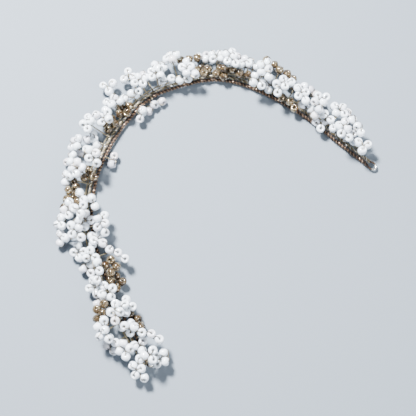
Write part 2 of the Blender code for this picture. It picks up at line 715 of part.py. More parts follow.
def build():
    clear_scene()
    parts = new_collection("flower_crown")
    cutters = new_collection("cutters", hidden=True)
    materials = {
        "white": principled("white_glass", (0.88, 0.88, 0.87), 0.18, 0.0),
        "gold": principled("gold_lined_glass", (0.62, 0.47, 0.25), 0.2, 0.35),
        "core": principled("silvered_wire", (0.55, 0.5, 0.42), 0.35, 1.0),
        "binding": principled("copper_brown_wire", (0.3, 0.17, 0.09), 0.42, 1.0),
        "stem": principled("antique_brass_wire", (0.36, 0.29, 0.18), 0.38, 1.0),
    }
    sprigs = lay_sprigs()
    crown = bpy.data.objects.new("crown_origin", None)
    parts.objects.link(crown)
    middle = middle_of(sprigs)
    crown.location = metres((-middle[0], -middle[1], 0.0))
    build_band(parts, cutters, crown, materials)
    build_stems(sprigs, parts, crown, materials)
    build_clusters(sprigs, parts, crown, materials)
    build_free_flowers(sprigs, parts, crown, materials)


build()
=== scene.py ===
import math

import bpy
import numpy as np
from mathutils import Matrix, Vector

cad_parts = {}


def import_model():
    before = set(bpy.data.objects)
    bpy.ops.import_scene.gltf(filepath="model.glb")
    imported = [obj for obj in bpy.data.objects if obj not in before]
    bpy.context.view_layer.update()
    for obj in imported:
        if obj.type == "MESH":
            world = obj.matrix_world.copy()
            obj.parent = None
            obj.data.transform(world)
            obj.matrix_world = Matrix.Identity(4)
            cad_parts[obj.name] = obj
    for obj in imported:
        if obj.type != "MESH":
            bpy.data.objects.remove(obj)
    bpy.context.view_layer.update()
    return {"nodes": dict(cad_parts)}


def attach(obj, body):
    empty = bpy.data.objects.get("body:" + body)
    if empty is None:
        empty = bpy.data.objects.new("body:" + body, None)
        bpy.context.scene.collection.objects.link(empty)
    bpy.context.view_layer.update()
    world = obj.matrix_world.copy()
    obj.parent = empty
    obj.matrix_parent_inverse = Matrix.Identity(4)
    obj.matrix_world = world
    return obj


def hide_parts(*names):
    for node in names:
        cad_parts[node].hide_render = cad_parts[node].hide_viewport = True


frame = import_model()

mm = 0.001  # the layout is worked out in millimetres, meshes are in metres

print("crown: frame loaded,", len(frame["nodes"]), "nodes")


# the layout of the band and the beads

beadSize = {"radius": 2.0, "halfHeight": 1.42, "gap": 0.16}

bandSize = {
    "height": 1.6,
    "strandOffset": 0.95,
    "coreRadius": 0.45,
    "bindingRadius": 0.875,
    "bindingEnd": 4.5,
    "eyeOutline": [(1.0, 0.95), (2.0, 1.3), (3.1, 1.5), (4.1, 1.3), (4.8, 0.75), (5.1, 0.0)],
    "route": [
        (73, 18), (60, 29), (45, 42), (30, 52), (15, 59), (2, 61), (-12, 58), (-26, 52),
        (-37, 40), (-45, 26), (-50, 11), (-51, -8), (-46, -26), (-38, -45), (-28, -61), (-23, -68),
    ],
}

stemSize = {
    "runOffset": 2.45,
    "runRadius": 0.3,
    "liftOffset": 1.25,
    "liftHeight": 3.45,
    "neck": 3.4,
    "end": 1.9,
    "spacing": 2.4,
    "firstBase": 8,
    "lastBaseFromEnd": 2,
    "overBand": 0.4,
    "clearance": 0.72,
    "footClearance": 0.5,
    "endClearance": 0.4,
}

# how a sprig leans, and how its beads stand round its middle
lean = {"outwards": 0.55, "rise": 3.0, "random": 0.8, "free": 0.35}
closeness = 0.98
ringForm = {"squash": 0.88, "angle": 0.08, "height": 0.35, "opens": 0.35, "random": 0.3}
patchForm = {"zigzag": 0.85, "dome": 0.9, "falls": 0.06, "height": 0.3, "opens": 0.12, "random": 0.25}
rowForm = {"step": 1.9, "zigzag": 0.5, "height": 0.3, "random": 0.45}

freeSize = {"ring": 2.58, "footOffset": 3.15, "loopClearance": 0.55}

# glass, then sprigs as (arrangement, beads, distance along the band, offset outwards, height, turn)
clusters = [
    ("white", [("patch", 5, 21, 2, 8, 100), ("ring", 3, 17, 3, 3, 60)]),
    ("white", [("ring", 3, 23, 11, 5, 90), ("row", 3, 17, 7, 6, -65)]),
    ("white", [("ring", 4, 27, 7, 8, 135), ("row", 3, 28, 2, 8, -60)]),
    ("white", [("row", 3, 37, 1, 5, -50), ("ring", 3, 31, 0, 6, 150)]),
    ("white", [("patch", 5, 36, 5, 9, 60), ("row", 3, 41, 9, 5, -70)]),
    ("white", [("patch", 5, 45, 4, 9, 90), ("row", 3, 49, 9, 5, -30)]),
    ("gold", [("row", 3, 47, 0, 5, -45)]),
    ("gold", [("row", 5, 58, 10, 5, -45)]),
    ("white", [("patch", 5, 53, 3, 9, 40), ("ring", 3, 58, 2, 6, 120)]),
    ("white", [("patch", 5, 63, 5, 9, 90), ("ring", 4, 65, 1, 7, 120)]),
    ("white", [("row", 3, 70, 5, 6, 0), ("row", 3, 73, 10, 4, -50), ("patch", 5, 78, 6, 8, 100)]),
    ("gold", [("row", 4, 74, 2, 4, -20), ("ring", 4, 81, 2, 4, 20)]),
    ("white", [("ring", 4, 83, 8, 6, 135), ("ring", 3, 88, 9, 4, 60)]),
    ("gold", [("ring", 4, 88, 4, 5, 20), ("row", 3, 93, 10, 4, 0)]),
    ("white", [("patch", 5, 95, 3, 8, 120), ("row", 4, 101, 3, 7, 0)]),
    ("white", [("ring", 4, 100, 10, 5, 110), ("ring", 4, 106, 10, 5, 135)]),
    ("white", [("ring", 4, 109, 5, 8, 60), ("ring", 3, 112, 9, 4, 120), ("ring", 4, 115, 5, 7, 30)]),
    ("white", [("row", 3, 121, 5, 3, 10), ("patch", 5, 129, 8, 6, 20)]),
    ("white", [("row", 3, 116, -5, 2.5, 40), ("row", 2, 124, -5, 2.5, 60)]),
    ("gold", [("ring", 4, 127, 3, 5, 45), ("ring", 4, 134, 4, 5, 80)]),
    ("white", [("ring", 4, 136, 7, 8, 60), ("patch", 5, 141, 10, 7, 70), ("ring", 3, 145, 8, 5, 80)]),
    ("white", [("ring", 4, 150, 13, 4, 20), ("row", 3, 150, 7, 5, -10)]),
    ("white", [("patch", 5, 153, 2, 9, 90), ("row", 2, 150, -5, 2.5, 60)]),
    ("white", [("ring", 3, 156, 12, 4, 60), ("ring", 4, 161, 7, 8, 90), ("ring", 3, 164, 10, 4, 0)]),
    ("gold", [("ring", 3, 161, 2, 6, 90)]),
    ("gold", [("row", 4, 168, 8, 5, -70), ("row", 4, 173, 10, 4, -125)]),
    ("white", [("row", 2, 172, 3, 7, -70), ("row", 2, 173, -2, 6, -80)]),
    ("white", [("ring", 4, 181, 1, 6, 90), ("ring", 3, 178, 3, 9, 50)]),
    ("white", [("ring", 4, 177, 8, 6, 90), ("ring", 3, 180, 11, 4, 60)]),
    ("white", [("patch", 5, 184, -5, 6, 90)]),
    ("white", [("patch", 5, 185, 5, 9, 100), ("ring", 3, 186, 12, 4, 0), ("ring", 4, 193, 6, 6, 90)]),
    ("white", [("ring", 4, 190, -2, 5, 60), ("ring", 3, 197, 2, 8, 90)]),
    ("white", [("row", 5, 197, -6, 6, -25)]),
    ("white", [("ring", 3, 201, 5, 5, 60), ("row", 3, 205, 1, 10, -90)]),
    ("gold", [("ring", 4, 204, -4.5, 5, 90), ("ring", 4, 210, -4.5, 5, 90)]),
    ("white", [("ring", 4, 210, 4, 5, 100), ("ring", 4, 215, 1, 8, 120), ("ring", 3, 216, 5, 4, 60)]),
    ("gold", [("patch", 5, 221, 6, 5, 90)]),
    ("white", [("ring", 4, 223, -4, 6, 90), ("patch", 5, 222, 1, 7, 60)]),
    ("gold", [("row", 3, 229, -5, 4, -50)]),
    ("white", [("patch", 5, 227, 9, 5, 100), ("ring", 4, 233, 9, 5, 100), ("ring", 4, 238, 6, 7, 100)]),
    ("white", [("ring", 3, 231, 0, 7, 60), ("row", 5, 236, -4, 7, -20), ("ring", 3, 240, 0, 4, 60)]),
    ("white", [("ring", 4, 249, -4, 5, 60), ("ring", 3, 246, -1, 8, 60), ("patch", 5, 247, 5, 5, 100)]),
]

freeFlowers = [(10, 3, 7.5, 20), (116, 12, 5, 100), (124, 15, 5, 40)]

settling = {
    "seed": 7,
    "steps": 260,
    "ownCluster": 1.875,
    "bandGap": 0.15,
    "upwards": 1.3,
    "overBand": 0.3,
    "bandPush": 1.5,
    "pace": 0.8,
    "tableGap": 0.02,
    "homingSteps": 0.6,
    "homing": (0.06, 0.06, 0.02),
    "spreadSteps": 200,
}


def smoothLine(points, steps):
    # Catmull-Rom curve through the points
    knots = np.array(points, float)
    knots = np.vstack([2 * knots[0] - knots[1], knots, 2 * knots[-1] - knots[-2]])
    found = []
    for i in range(1, len(knots) - 2):
        a, b, c, d = knots[i - 1 : i + 3]
        for t in np.arange(steps) / steps:
            bend = (2 * a - 5 * b + 4 * c - d) * t**2 + (3 * b - 3 * c + d - a) * t**3
            found.append(0.5 * (2 * b + (c - a) * t + bend))
    found.append(knots[-2])
    return np.array(found)


bandLine = smoothLine(bandSize["route"], 40)
bandAlong = np.r_[0, np.cumsum(np.linalg.norm(np.diff(bandLine, axis=0), axis=1))]
bandHeading = np.gradient(bandLine, axis=0)
bandLength = bandAlong[-1]


def tangent(s):
    x, y = (np.interp(s, bandAlong, bandHeading[:, k]) for k in range(2))
    t = np.array([x, y, 0.0])
    return t / np.linalg.norm(t)


def outward(s):
    t = tangent(s)
    return np.array([t[1], -t[0], 0.0])


def onBand(s, offset=0.0, height=bandSize["height"]):
    # past either end the band's line goes straight on
    beyond = max(s - bandLength, 0.0) + min(s, 0.0)
    x, y = np.interp(s, bandAlong, bandLine[:, 0]), np.interp(s, bandAlong, bandLine[:, 1])
    return np.array([x, y, height]) + outward(s) * offset + tangent(s) * beyond


def unit(vector):
    return vector / np.linalg.norm(vector)


def faceDirections(axis, turn):
    plan = np.array([math.cos(math.radians(turn)), math.sin(math.radians(turn)), 0.0])
    u = unit(plan - axis * (plan @ axis))
    return u, np.cross(axis, u)


def beadRing(count, axis, u, v, rng):
    look = ringForm
    ring = beadSize["radius"] * closeness / math.sin(math.pi / count)
    offsets, axes = [], []
    for i in range(count):
        angle = 2 * math.pi * i / count + rng.uniform(-look["angle"], look["angle"])
        out = u * math.cos(angle) + v * math.sin(angle)
        reach = ring * (look["squash"] if count == 4 and i % 2 else 1.0)
        offsets.append(out * reach + axis * rng.uniform(-look["height"], look["height"]))
        axes.append(unit(axis + out * look["opens"] + rng.uniform(-look["random"], look["random"], 3)))
    return offsets, axes


def beadPatch(count, axis, u, v, rng):
    look = patchForm
    step = beadSize["radius"] * closeness
    offsets, axes = [], []
    for i in range(count):
        across, along = (i - (count - 1) / 2) * step, (look["zigzag"] if i % 2 else -look["zigzag"]) * step
        dome = look["dome"] - look["falls"] * across**2
        flat = u * across + v * along
        offsets.append(flat + axis * (dome + rng.uniform(-look["height"], look["height"])))
        axes.append(unit(axis + flat * look["opens"] + rng.uniform(-look["random"], look["random"], 3)))
    return offsets, axes


def beadRow(count, axis, u, v, rng):
    look = rowForm
    offsets, axes = [], []
    for i in range(count):
        side = look["zigzag"] if i % 2 else -look["zigzag"]
        flat = u * (i - (count - 1) / 2) * beadSize["radius"] * look["step"] + v * side
        offsets.append(flat + axis * rng.uniform(-look["height"], look["height"]))
        axes.append(unit(axis + rng.uniform(-look["random"], look["random"], 3)))
    return offsets, axes


def makeSprig(arrangement, count, s, offset, height, turn, rng):
    away = outward(s) * lean["outwards"] * offset
    away = away + np.array([0, 0, height - bandSize["height"] + lean["rise"]])
    axis = unit(away + rng.uniform(-1, 1, 3) * lean["random"])
    u, v = faceDirections(axis, turn)
    arrange = {"ring": beadRing, "patch": beadPatch, "row": beadRow}[arrangement]
    offsets, axes = arrange(count, axis, u, v, rng)
    return {"hub": onBand(s, offset, height), "axis": axis, "offsets": offsets, "axes": axes, "s": s,
            "arrangement": arrangement}


def makeFreeFlower(s, offset, height, turn):
    axis = unit(outward(s) * lean["free"] + np.array([0, 0, 1.0]))
    u, v = faceDirections(axis, turn)
    angles = [2 * math.pi * i / 3 for i in range(3)]
    offsets = [(u * math.cos(a) + v * math.sin(a)) * freeSize["ring"] for a in angles]
    return {"hub": onBand(s, offset, height), "axis": axis, "offsets": offsets, "axes": [axis] * 3, "s": s,
            "arrangement": "free"}


def stemLine(sprig, hub):
    # from the run beside the band, over the band if need be, to the sprig
    base = sprig["base"]
    neck = hub - sprig["axis"] * stemSize["neck"]
    reach = (neck - onBand(base)) @ outward(base)
    overBand = abs(reach) < bandSize["strandOffset"] + bandSize["bindingRadius"] + stemSize["overBand"]
    fromSide = neck[2] < (stemSize["liftHeight"] if overBand else bandSize["height"])
    line = [onBand(base, stemSize["runOffset"])]
    if reach < bandSize["strandOffset"] * 2:
        line.append(onBand(base, stemSize["liftOffset"], stemSize["liftHeight"]))
    if reach < -bandSize["strandOffset"]:
        line.append(onBand(base, -stemSize["liftOffset"] - stemSize["overBand"], stemSize["liftHeight"]))
    if not fromSide:
        return line + [neck, hub - sprig["axis"] * stemSize["end"]]
    beads = hub + np.array(sprig["offsets"])
    span = hub - line[-1]
    for share in np.arange(0.9, 0.15, -0.05):  # shorten the stem until its end clears the beads
        end = line[-1] + span * share
        if np.linalg.norm(beads - end, axis=1).min() > beadSize["radius"] + stemSize["endClearance"]:
            return line + [end]
    return line


def sampled(line, step=0.6):
    found = []
    for a, b in zip(line[:-1], line[1:]):
        count = max(1, int(np.linalg.norm(b - a) / step))
        found += [a + (b - a) * k / count for k in range(count)]
    return np.array(found + [line[-1]])


def spreadBases(sprigs):
    leaders = sorted((sp for sp in sprigs if sp["leads"]), key=lambda sp: sp["s"])
    bases = np.array([sp["s"] for sp in leaders], float)
    for _ in range(settling["spreadSteps"]):
        for j in range(len(bases) - 1):
            short = max(stemSize["spacing"] - (bases[j + 1] - bases[j]), 0.0) / 2
            bases[j] -= short
            bases[j + 1] += short
        bases = np.clip(bases, stemSize["firstBase"], bandLength - stemSize["lastBaseFromEnd"])
    for sp, base in zip(leaders, bases):
        sp["base"] = base


def deepestPush(beads, points, need):
    away = beads[:, None] - points[None]
    distance = np.linalg.norm(away, axis=2)
    over = np.clip(need - distance, 0, None)
    worst = over.argmax(axis=1)
    rows = np.arange(len(beads))
    depth = over[rows, worst]
    return away[rows, worst] / (distance[rows, worst][:, None] + 1e-9) * depth[:, None], depth


def settle(sprigs):
    # whole sprigs move apart until no bead cuts another, a stem, the band or the table
    radius = beadSize["radius"]
    own = np.concatenate([[i] * len(sp["offsets"]) for i, sp in enumerate(sprigs)])
    cluster = np.array([sprigs[i]["cluster"] for i in own])
    offsets = np.vstack([sp["offsets"] for sp in sprigs])
    hubs = np.array([sp["hub"] for sp in sprigs])
    home = hubs.copy()
    together = cluster[:, None] == cluster[None, :]
    apart = np.where(together, radius * settling["ownCluster"], radius * 2 + beadSize["gap"])
    apart[own[:, None] == own[None, :]] = 0
    bandPoints, bandNeed = [], []
    strand, binding = bandSize["strandOffset"], bandSize["bindingRadius"]
    lines = ((-strand, binding), (strand, binding), (stemSize["runOffset"], stemSize["runRadius"]))
    for s in np.arange(-1, bandLength + 1, 1.0):
        for offset, wide in lines:
            bandPoints.append(onBand(s, offset))
            bandNeed.append(radius + wide + settling["bandGap"])
    bandPoints = np.array(bandPoints)
    bandNeed = np.array(bandNeed)[None]
    for step in range(settling["steps"]):
        beads = hubs[own] + offsets
        away = beads[:, None] - beads[None]
        distance = np.linalg.norm(away, axis=2) + 1e-9
        over = np.clip(apart - distance, 0, None)
        np.fill_diagonal(over, 0)
        push = (away / distance[..., None] * over[..., None]).sum(axis=1)
        push[:, 2] *= settling["upwards"]
        hits = (over > 0).sum(axis=1).astype(float)
        fromBand, depth = deepestPush(beads, bandPoints, bandNeed)
        fromBand[:, 2] = np.abs(fromBand[:, 2]) + settling["overBand"] * depth
        push += settling["bandPush"] * fromBand
        hits += depth > 0
        for i, sp in enumerate(sprigs):
            if not sp["leads"]:
                continue
            line = stemLine(sp, hubs[i])
            others = own != i
            fromStem, depth = deepestPush(beads, sampled(line), radius + stemSize["clearance"])
            push += fromStem * others[:, None]
            hits += (depth > 0) & others
            foot = sampled(line[:-1] if len(line) > 2 else line[:1])
            fromFoot, depth = deepestPush(beads, foot, radius + stemSize["footClearance"])
            push += fromFoot * (own == i)[:, None]
            hits += (depth > 0) & (own == i)
        moves = np.array([np.bincount(own, push[:, k], len(sprigs)) for k in range(3)]).T
        shared = np.maximum(np.bincount(own, hits, len(sprigs)), 1)[:, None]
        hubs += settling["pace"] * moves / shared
        lift = np.zeros(len(sprigs))
        np.maximum.at(lift, own, np.clip(radius + settling["tableGap"] - beads[:, 2], 0, None))
        hubs[:, 2] += lift
        if step < settling["steps"] * settling["homingSteps"]:
            hubs += (home - hubs) * np.array(settling["homing"])
    for sp, hub in zip(sprigs, hubs):
        sp["hub"] = hub


def laySprigs():
    rng = np.random.default_rng(settling["seed"])
    sprigs = []
    for number, (glass, group) in enumerate(clusters):
        for k, row in enumerate(group):
            sprigs.append({**makeSprig(*row, rng), "glass": glass, "cluster": number, "leads": k == 0})
    for number, row in enumerate(freeFlowers):
        flower = {**makeFreeFlower(*row), "glass": "white", "cluster": len(clusters) + number, "leads": True}
        sprigs.append(flower)
    spreadBases(sprigs)
    settle(sprigs)
    return sprigs


def middleOf(sprigs):
    radius, wire = beadSize["radius"], bandSize["coreRadius"]
    beads = np.vstack([sp["hub"] + offset for sp in sprigs for offset in sp["offsets"]])
    tip = bandSize["eyeOutline"][-1][0] - bandSize["bindingEnd"]
    ends = np.array([onBand(-tip), onBand(bandLength + tip)])
    low = np.minimum((beads - radius).min(axis=0), (ends - wire).min(axis=0))
    high = np.maximum((beads + radius).max(axis=0), (ends + wire).max(axis=0))
    return (low + high) / 2


sprigs = laySprigs()
middle = middleOf(sprigs) * np.array([1.0, 1.0, 0.0])
print("crown:", sum(len(sp["offsets"]) for sp in sprigs), "beads laid out")


def world(point):
    return Vector(np.array(point) - middle) * mm


# materials


class Socket:
    # one socket of a material: arithmetic on it adds Math nodes
    def __init__(self, tree, socket):
        self.tree, self.socket = tree, socket

    def add(self, kind, settings, sockets, output=0):
        node = self.tree.nodes.new(kind)
        for name, value in settings.items():
            if name == "stops":
                ramp = node.color_ramp.elements
                while len(ramp) < len(value):
                    ramp.new(0.5)
                for element, (place, colour) in zip(ramp, value):
                    element.position, element.color = place, (*colour, 1.0)
            else:
                setattr(node, name, value)
        for name, value in sockets.items():
            if isinstance(value, Socket):
                self.tree.links.new(value.socket, node.inputs[name])
            else:
                node.inputs[name].default_value = value
        return Socket(self.tree, node.outputs[output])

    def math(self, operation, left, right, clamp=False):
        return self.add("ShaderNodeMath", {"operation": operation, "use_clamp": clamp}, {0: left, 1: right})

    def __add__(self, other):
        return self.math("ADD", self, other)

    def __sub__(self, other):
        return self.math("SUBTRACT", self, other)

    def __mul__(self, other):
        return self.math("MULTIPLY", self, other)

    def __rsub__(self, other):
        return self.math("SUBTRACT", other, self)

    __radd__ = __add__
    __rmul__ = __mul__

    def noise(self, scale, detail=3.0, roughness=0.55):
        sockets = {"Vector": self, "Scale": scale, "Detail": detail, "Roughness": roughness}
        return self.add("ShaderNodeTexNoise", {}, sockets)

    def ramp(self, stops):
        return self.add("ShaderNodeValToRGB", {"stops": stops}, {"Fac": self})

    def mixColour(self, factor, other, blend="MIX"):
        settings = {"data_type": "RGBA", "blend_type": blend}
        return self.add("ShaderNodeMix", settings, {0: factor, 6: self, 7: other}, output=2)

    def bump(self, strength, distance):
        return self.add("ShaderNodeBump", {}, {"Strength": strength, "Distance": distance, "Height": self})


def newMaterial(name, constants):
    # returns the material, its object coordinates and a function that links what varies
    material = bpy.data.materials.new(name)
    material.use_nodes = True
    tree = material.node_tree
    shader = tree.nodes["Principled BSDF"]
    for socket, value in constants.items():
        shader.inputs[socket].default_value = value
    place = Socket(tree, tree.nodes.new("ShaderNodeTexCoord").outputs["Object"])

    def feed(**varying):
        for socket, value in varying.items():
            tree.links.new(value.socket, shader.inputs[socket.replace("_", " ")])

    return material, place, feed


whiteGlass = {
    "clear": (0.90, 0.935, 0.975),
    # grey-lavender colour of the greyer beads, and of the painted shade on beads that sit low
    "shade": (0.56, 0.56, 0.61),
    "warm": (0.72, 0.63, 0.61),
    "veinScale": 620.0,
    "grainScale": 2600.0,
    "roughness": 0.16,
    "subsurface": 0.15,
    "coat": 1.0,
}

goldGlass = {
    "clear": (0.86, 0.73, 0.49),
    "champagne": (0.31, 0.21, 0.105),
    "amber": (0.075, 0.042, 0.018),
    "fleckScale": 560.0,
    "roughness": 0.05,
    "transmission": 0.55,
    "lining": (0.90, 0.66, 0.32),
    "liningWorn": (0.20, 0.10, 0.035),
}

# bright metal, tarnished metal, roughness and metallic share of each wire
wireFinishes = {
    "copperBrownWire": ((0.42, 0.275, 0.18), (0.10, 0.062, 0.042), 0.28, 0.9),
    # dark copper of the core, also laid between the turns of the inner binding as painted shade in the gaps
    "darkCopperAndGapShadeWire": ((0.10, 0.06, 0.04), (0.03, 0.022, 0.018), 0.45, 0.8),
    "darkBrassWire": ((0.30, 0.25, 0.16), (0.07, 0.055, 0.04), 0.4, 0.85),
    "antiqueBrassWire": ((0.56, 0.47, 0.32), (0.15, 0.12, 0.07), 0.33, 0.95),
    "silveredAndPaintedHighlightWire": ((0.80, 0.77, 0.70), (0.36, 0.31, 0.23), 0.27, 1.0),
    "petalWire": ((0.27, 0.225, 0.16), (0.07, 0.055, 0.04), 0.35, 0.9),
}


def makeWhiteGlass(look):
    material, place, feed = newMaterial("milkyWhiteGlass", {
        "IOR": 1.52,
        "Subsurface Weight": look["subsurface"],
        "Subsurface Radius": (0.0012, 0.0011, 0.001),
        "Subsurface Scale": 1.0,
        "Coat Weight": look["coat"],
        "Coat Roughness": 0.06,
    })
    # bead tone attribute: a random greyer tone on some beads, plus painted shade on beads that sit low,
    # mixed towards the grey-lavender or warm tint
    toneAndPaintedShade = place.add("ShaderNodeAttribute", {"attribute_name": "beadTone"}, {}, output=2)
    hue = place.add("ShaderNodeAttribute", {"attribute_name": "beadHue"}, {}, output=2)
    vein = place.noise(look["veinScale"], 4.0, 0.6)
    grain = place.noise(look["grainScale"], 2.0)
    shade = place.math("MULTIPLY", toneAndPaintedShade, vein * 0.9 + 0.35, clamp=True)
    tint = place.add("ShaderNodeMix", {"data_type": "RGBA"},
                     {0: hue, 6: (*look["shade"], 1.0), 7: (*look["warm"], 1.0)}, output=2)
    clear = (vein * 1.6 - 0.3).ramp([(0.0, tuple(c * 0.95 for c in look["clear"])), (0.7, look["clear"])])
    feed(Base_Color=clear.mixColour(shade, tint),
         Roughness=grain * 0.10 + vein * 0.10 + (look["roughness"] - 0.10),
         Normal=(vein * 0.7 + grain * 0.3).bump(0.22, 0.00006))
    return material


def makeGoldGlass(look):
    material, place, feed = newMaterial("goldLinedGlass", {
        "IOR": 1.5,
        "Transmission Weight": look["transmission"],
        "Coat Weight": 0.6,
        "Coat Roughness": 0.04,
    })
    # the bead tone attribute carries a random tone plus painted shade on low beads, which turns them towards
    # amber
    toneAndPaintedShade = place.add("ShaderNodeAttribute", {"attribute_name": "beadTone"}, {}, output=2)
    fleck = place.noise(look["fleckScale"], 3.0, 0.65)
    share = place.math("ADD", toneAndPaintedShade * 0.3, fleck * 3.4 - 1.2, clamp=True)
    colour = share.ramp([(0.0, look["clear"]), (0.42, look["champagne"]), (0.9, look["amber"])])
    feed(Base_Color=colour,
         Roughness=fleck * 0.14 + (look["roughness"] - 0.03),
         Metallic=0.75 - share * 0.6,
         Normal=fleck.bump(0.35, 0.0001))
    lining, place, feed = newMaterial("goldLining", {"IOR": 1.5})
    wear = place.noise(look["fleckScale"] * 1.6, 3.0)
    feed(Base_Color=(wear * 2.2 - 0.6).ramp([(0.0, look["lining"]), (1.0, look["liningWorn"])]),
         Roughness=wear * 0.3 + 0.12, Metallic=1 - wear * 0.25, Normal=wear.bump(0.3, 0.00005))
    return material, lining


def makeWireFinish(name, bright, dark, roughness, metal):
    material, place, feed = newMaterial(name, {"IOR": 1.5})
    tarnish = place.noise(330.0, 4.0, 0.62)
    drawn = place.noise(3800.0, 2.0)  # fine marks from drawing the wire
    share = place.math("ADD", tarnish * 2.4 - 0.85, drawn * 0.5 - 0.2, clamp=True)
    between = tuple(0.6 * a + 0.4 * b for a, b in zip(bright, dark))
    feed(Base_Color=share.ramp([(0.0, bright), (0.45, between), (1.0, dark)]),
         Roughness=share * 0.25 + roughness - 0.05,
         Metallic=metal - share * 0.2,
         Normal=(drawn * 0.6 + tarnish * 0.4).bump(0.25, 0.00003))
    return material


finishes = {name: makeWireFinish(name, *look) for name, look in wireFinishes.items()}
finishes["white"] = makeWhiteGlass(whiteGlass)
finishes["gold"], finishes["lining"] = makeGoldGlass(goldGlass)
print("crown: materials made")


# modelling helpers


def deselectAll():
    if bpy.context.mode != "OBJECT":
        bpy.ops.object.mode_set(mode="OBJECT")
    bpy.ops.object.select_all(action="DESELECT")


def makeActive(obj):
    deselectAll()
    obj.select_set(True)
    bpy.context.view_layer.objects.active = obj


def selectPoints(obj, wanted):
    # selects vertices by their place, in edit mode
    bpy.ops.mesh.select_all(action="DESELECT")
    bpy.ops.object.mode_set(mode="OBJECT")
    for point in obj.data.vertices:
        point.select = wanted(point.co)
    bpy.ops.object.mode_set(mode="EDIT")


def paintTone(mesh, name, value):
    toneAndPaintedShade = mesh.attributes.get(name) or mesh.attributes.new(name, "FLOAT", "POINT")
    toneAndPaintedShade.data.foreach_set("value", np.full(len(mesh.vertices), value, np.float32))


def joinCopies(name, copies):
    deselectAll()
    for copy in copies:
        copy.select_set(True)
    bpy.context.view_layer.objects.active = copies[0]
    if len(copies) > 1:
        bpy.ops.object.join()
    copies[0].name = name
    copies[0].data.name = name
    return copies[0]


def placedCopy(master, matrix):
    copy = master.copy()
    copy.data = master.data.copy()
    copy.data.transform(matrix)
    bpy.context.scene.collection.objects.link(copy)
    return copy


def wirePiece(name, runs, material, sides=3):
    # runs are (points in the layout, radius in millimetres, closed or not)
    data = bpy.data.curves.new(name, "CURVE")
    data.dimensions = "3D"
    data.bevel_depth = 1.0
    data.bevel_resolution = sides - 2
    data.use_fill_caps = True
    for points, radius, closed in runs:
        spline = data.splines.new("POLY")
        spline.points.add(len(points) - 1)
        for slot, point in zip(spline.points, points):
            slot.co = (*world(point), 1.0)
            slot.radius = radius * mm
        spline.use_cyclic_u = closed
        spline.use_smooth = True
    wire = bpy.data.objects.new(name, data)
    bpy.context.scene.collection.objects.link(wire)
    makeActive(wire)
    bpy.ops.object.convert(target="MESH")
    wire = bpy.context.object
    bpy.ops.object.mode_set(mode="EDIT")
    bpy.ops.mesh.select_all(action="SELECT")
    bpy.ops.mesh.remove_doubles(threshold=1e-6)
    bpy.ops.mesh.normals_make_consistent(inside=False)
    bpy.ops.object.mode_set(mode="OBJECT")
    bpy.ops.object.shade_smooth_by_angle(angle=math.radians(50))
    wire.data.materials.clear()
    wire.data.materials.append(material)
    return wire


def helixAround(line, radius, pitch, pointsPerTurn=9, phase=0.0):
    # a helix round a line of points
    line = np.array(line, float)
    along = np.r_[0, np.cumsum(np.linalg.norm(np.diff(line, axis=0), axis=1))]
    count = max(2, int(along[-1] / pitch * pointsPerTurn))
    reach = np.linspace(0, along[-1], count)
    middle = np.array([np.interp(reach, along, line[:, k]) for k in range(3)]).T
    ahead = np.gradient(middle, axis=0)
    ahead /= np.linalg.norm(ahead, axis=1)[:, None]
    side = unit(np.cross(ahead[0], [0.31, 0.17, 0.94]))
    points = []
    for place, way, along in zip(middle, ahead, reach):
        side = unit(side - way * (side @ way))
        angle = 2 * math.pi * along / pitch + phase
        points.append(place + (side * math.cos(angle) + np.cross(way, side) * math.sin(angle)) * radius)
    return points


# beads

beadForm = {
    "sides": 12,
    "profile": 6,
    "hole": 0.36,
    "halfHeight": 1.58,
    "shoulder": 0.97,
    "sizeSpread": 0.03,
    "heightSpread": 0.08,
    "lean": 0.3,
    "turnedShare": 0.42,
    "turned": (0.8, 1.25),
    "flawShare": 0.2,
    # beads whose centres sit below this height, in millimetres, get painted shade
    "paintedShadeBelow": 4.2,
    "lining": 0.95,
}


def modelBead(name, sides, profile, material):
    # a ring, drawn up to the bead's height, with full shoulders and a rounded hole
    radius, hole = beadSize["radius"] * mm, beadForm["hole"] * mm
    thick = (radius - hole) / 2
    deselectAll()
    bpy.ops.mesh.primitive_torus_add(major_segments=sides, minor_segments=profile,
                                     major_radius=(radius + hole) / 2, minor_radius=thick)
    bead = bpy.context.object
    bead.name = name
    bpy.ops.object.mode_set(mode="EDIT")
    bpy.ops.mesh.select_all(action="SELECT")
    bpy.ops.transform.resize(value=(1, 1, beadForm["halfHeight"] * mm / thick))
    selectPoints(bead, lambda co: co.xy.length > radius - thick and abs(co.z) > thick * 0.4)
    bpy.ops.transform.resize(value=(beadForm["shoulder"], beadForm["shoulder"], 1))
    bpy.ops.object.mode_set(mode="OBJECT")
    bpy.ops.object.shade_smooth()
    bead.data.materials.append(material)
    return bead


def modelLining(name, sides, material):
    # the gold inside a clear bead's hole: an open tube given a thin wall
    deselectAll()
    bpy.ops.mesh.primitive_cylinder_add(vertices=sides, radius=beadForm["lining"] * mm,
                                        depth=beadSize["halfHeight"] * 1.5 * mm, end_fill_type="NOTHING")
    lining = bpy.context.object
    lining.name = name
    wall = lining.modifiers.new("wall", "SOLIDIFY")
    wall.thickness = 0.07 * mm
    bpy.ops.object.modifier_apply(modifier="wall")
    bpy.ops.object.shade_smooth_by_angle(angle=math.radians(40))
    lining.data.materials.append(material)
    return lining


def leant(axis, look, dice):
    # most beads face outwards with a small lean, the others lie on their sides like balls
    side = unit(np.cross(axis, dice.normal(size=3)))
    turned = dice.random() < look["turnedShare"]
    angle = dice.uniform(*look["turned"]) if turned else abs(dice.normal()) * look["lean"]
    return axis * math.cos(angle) + side * math.sin(angle)


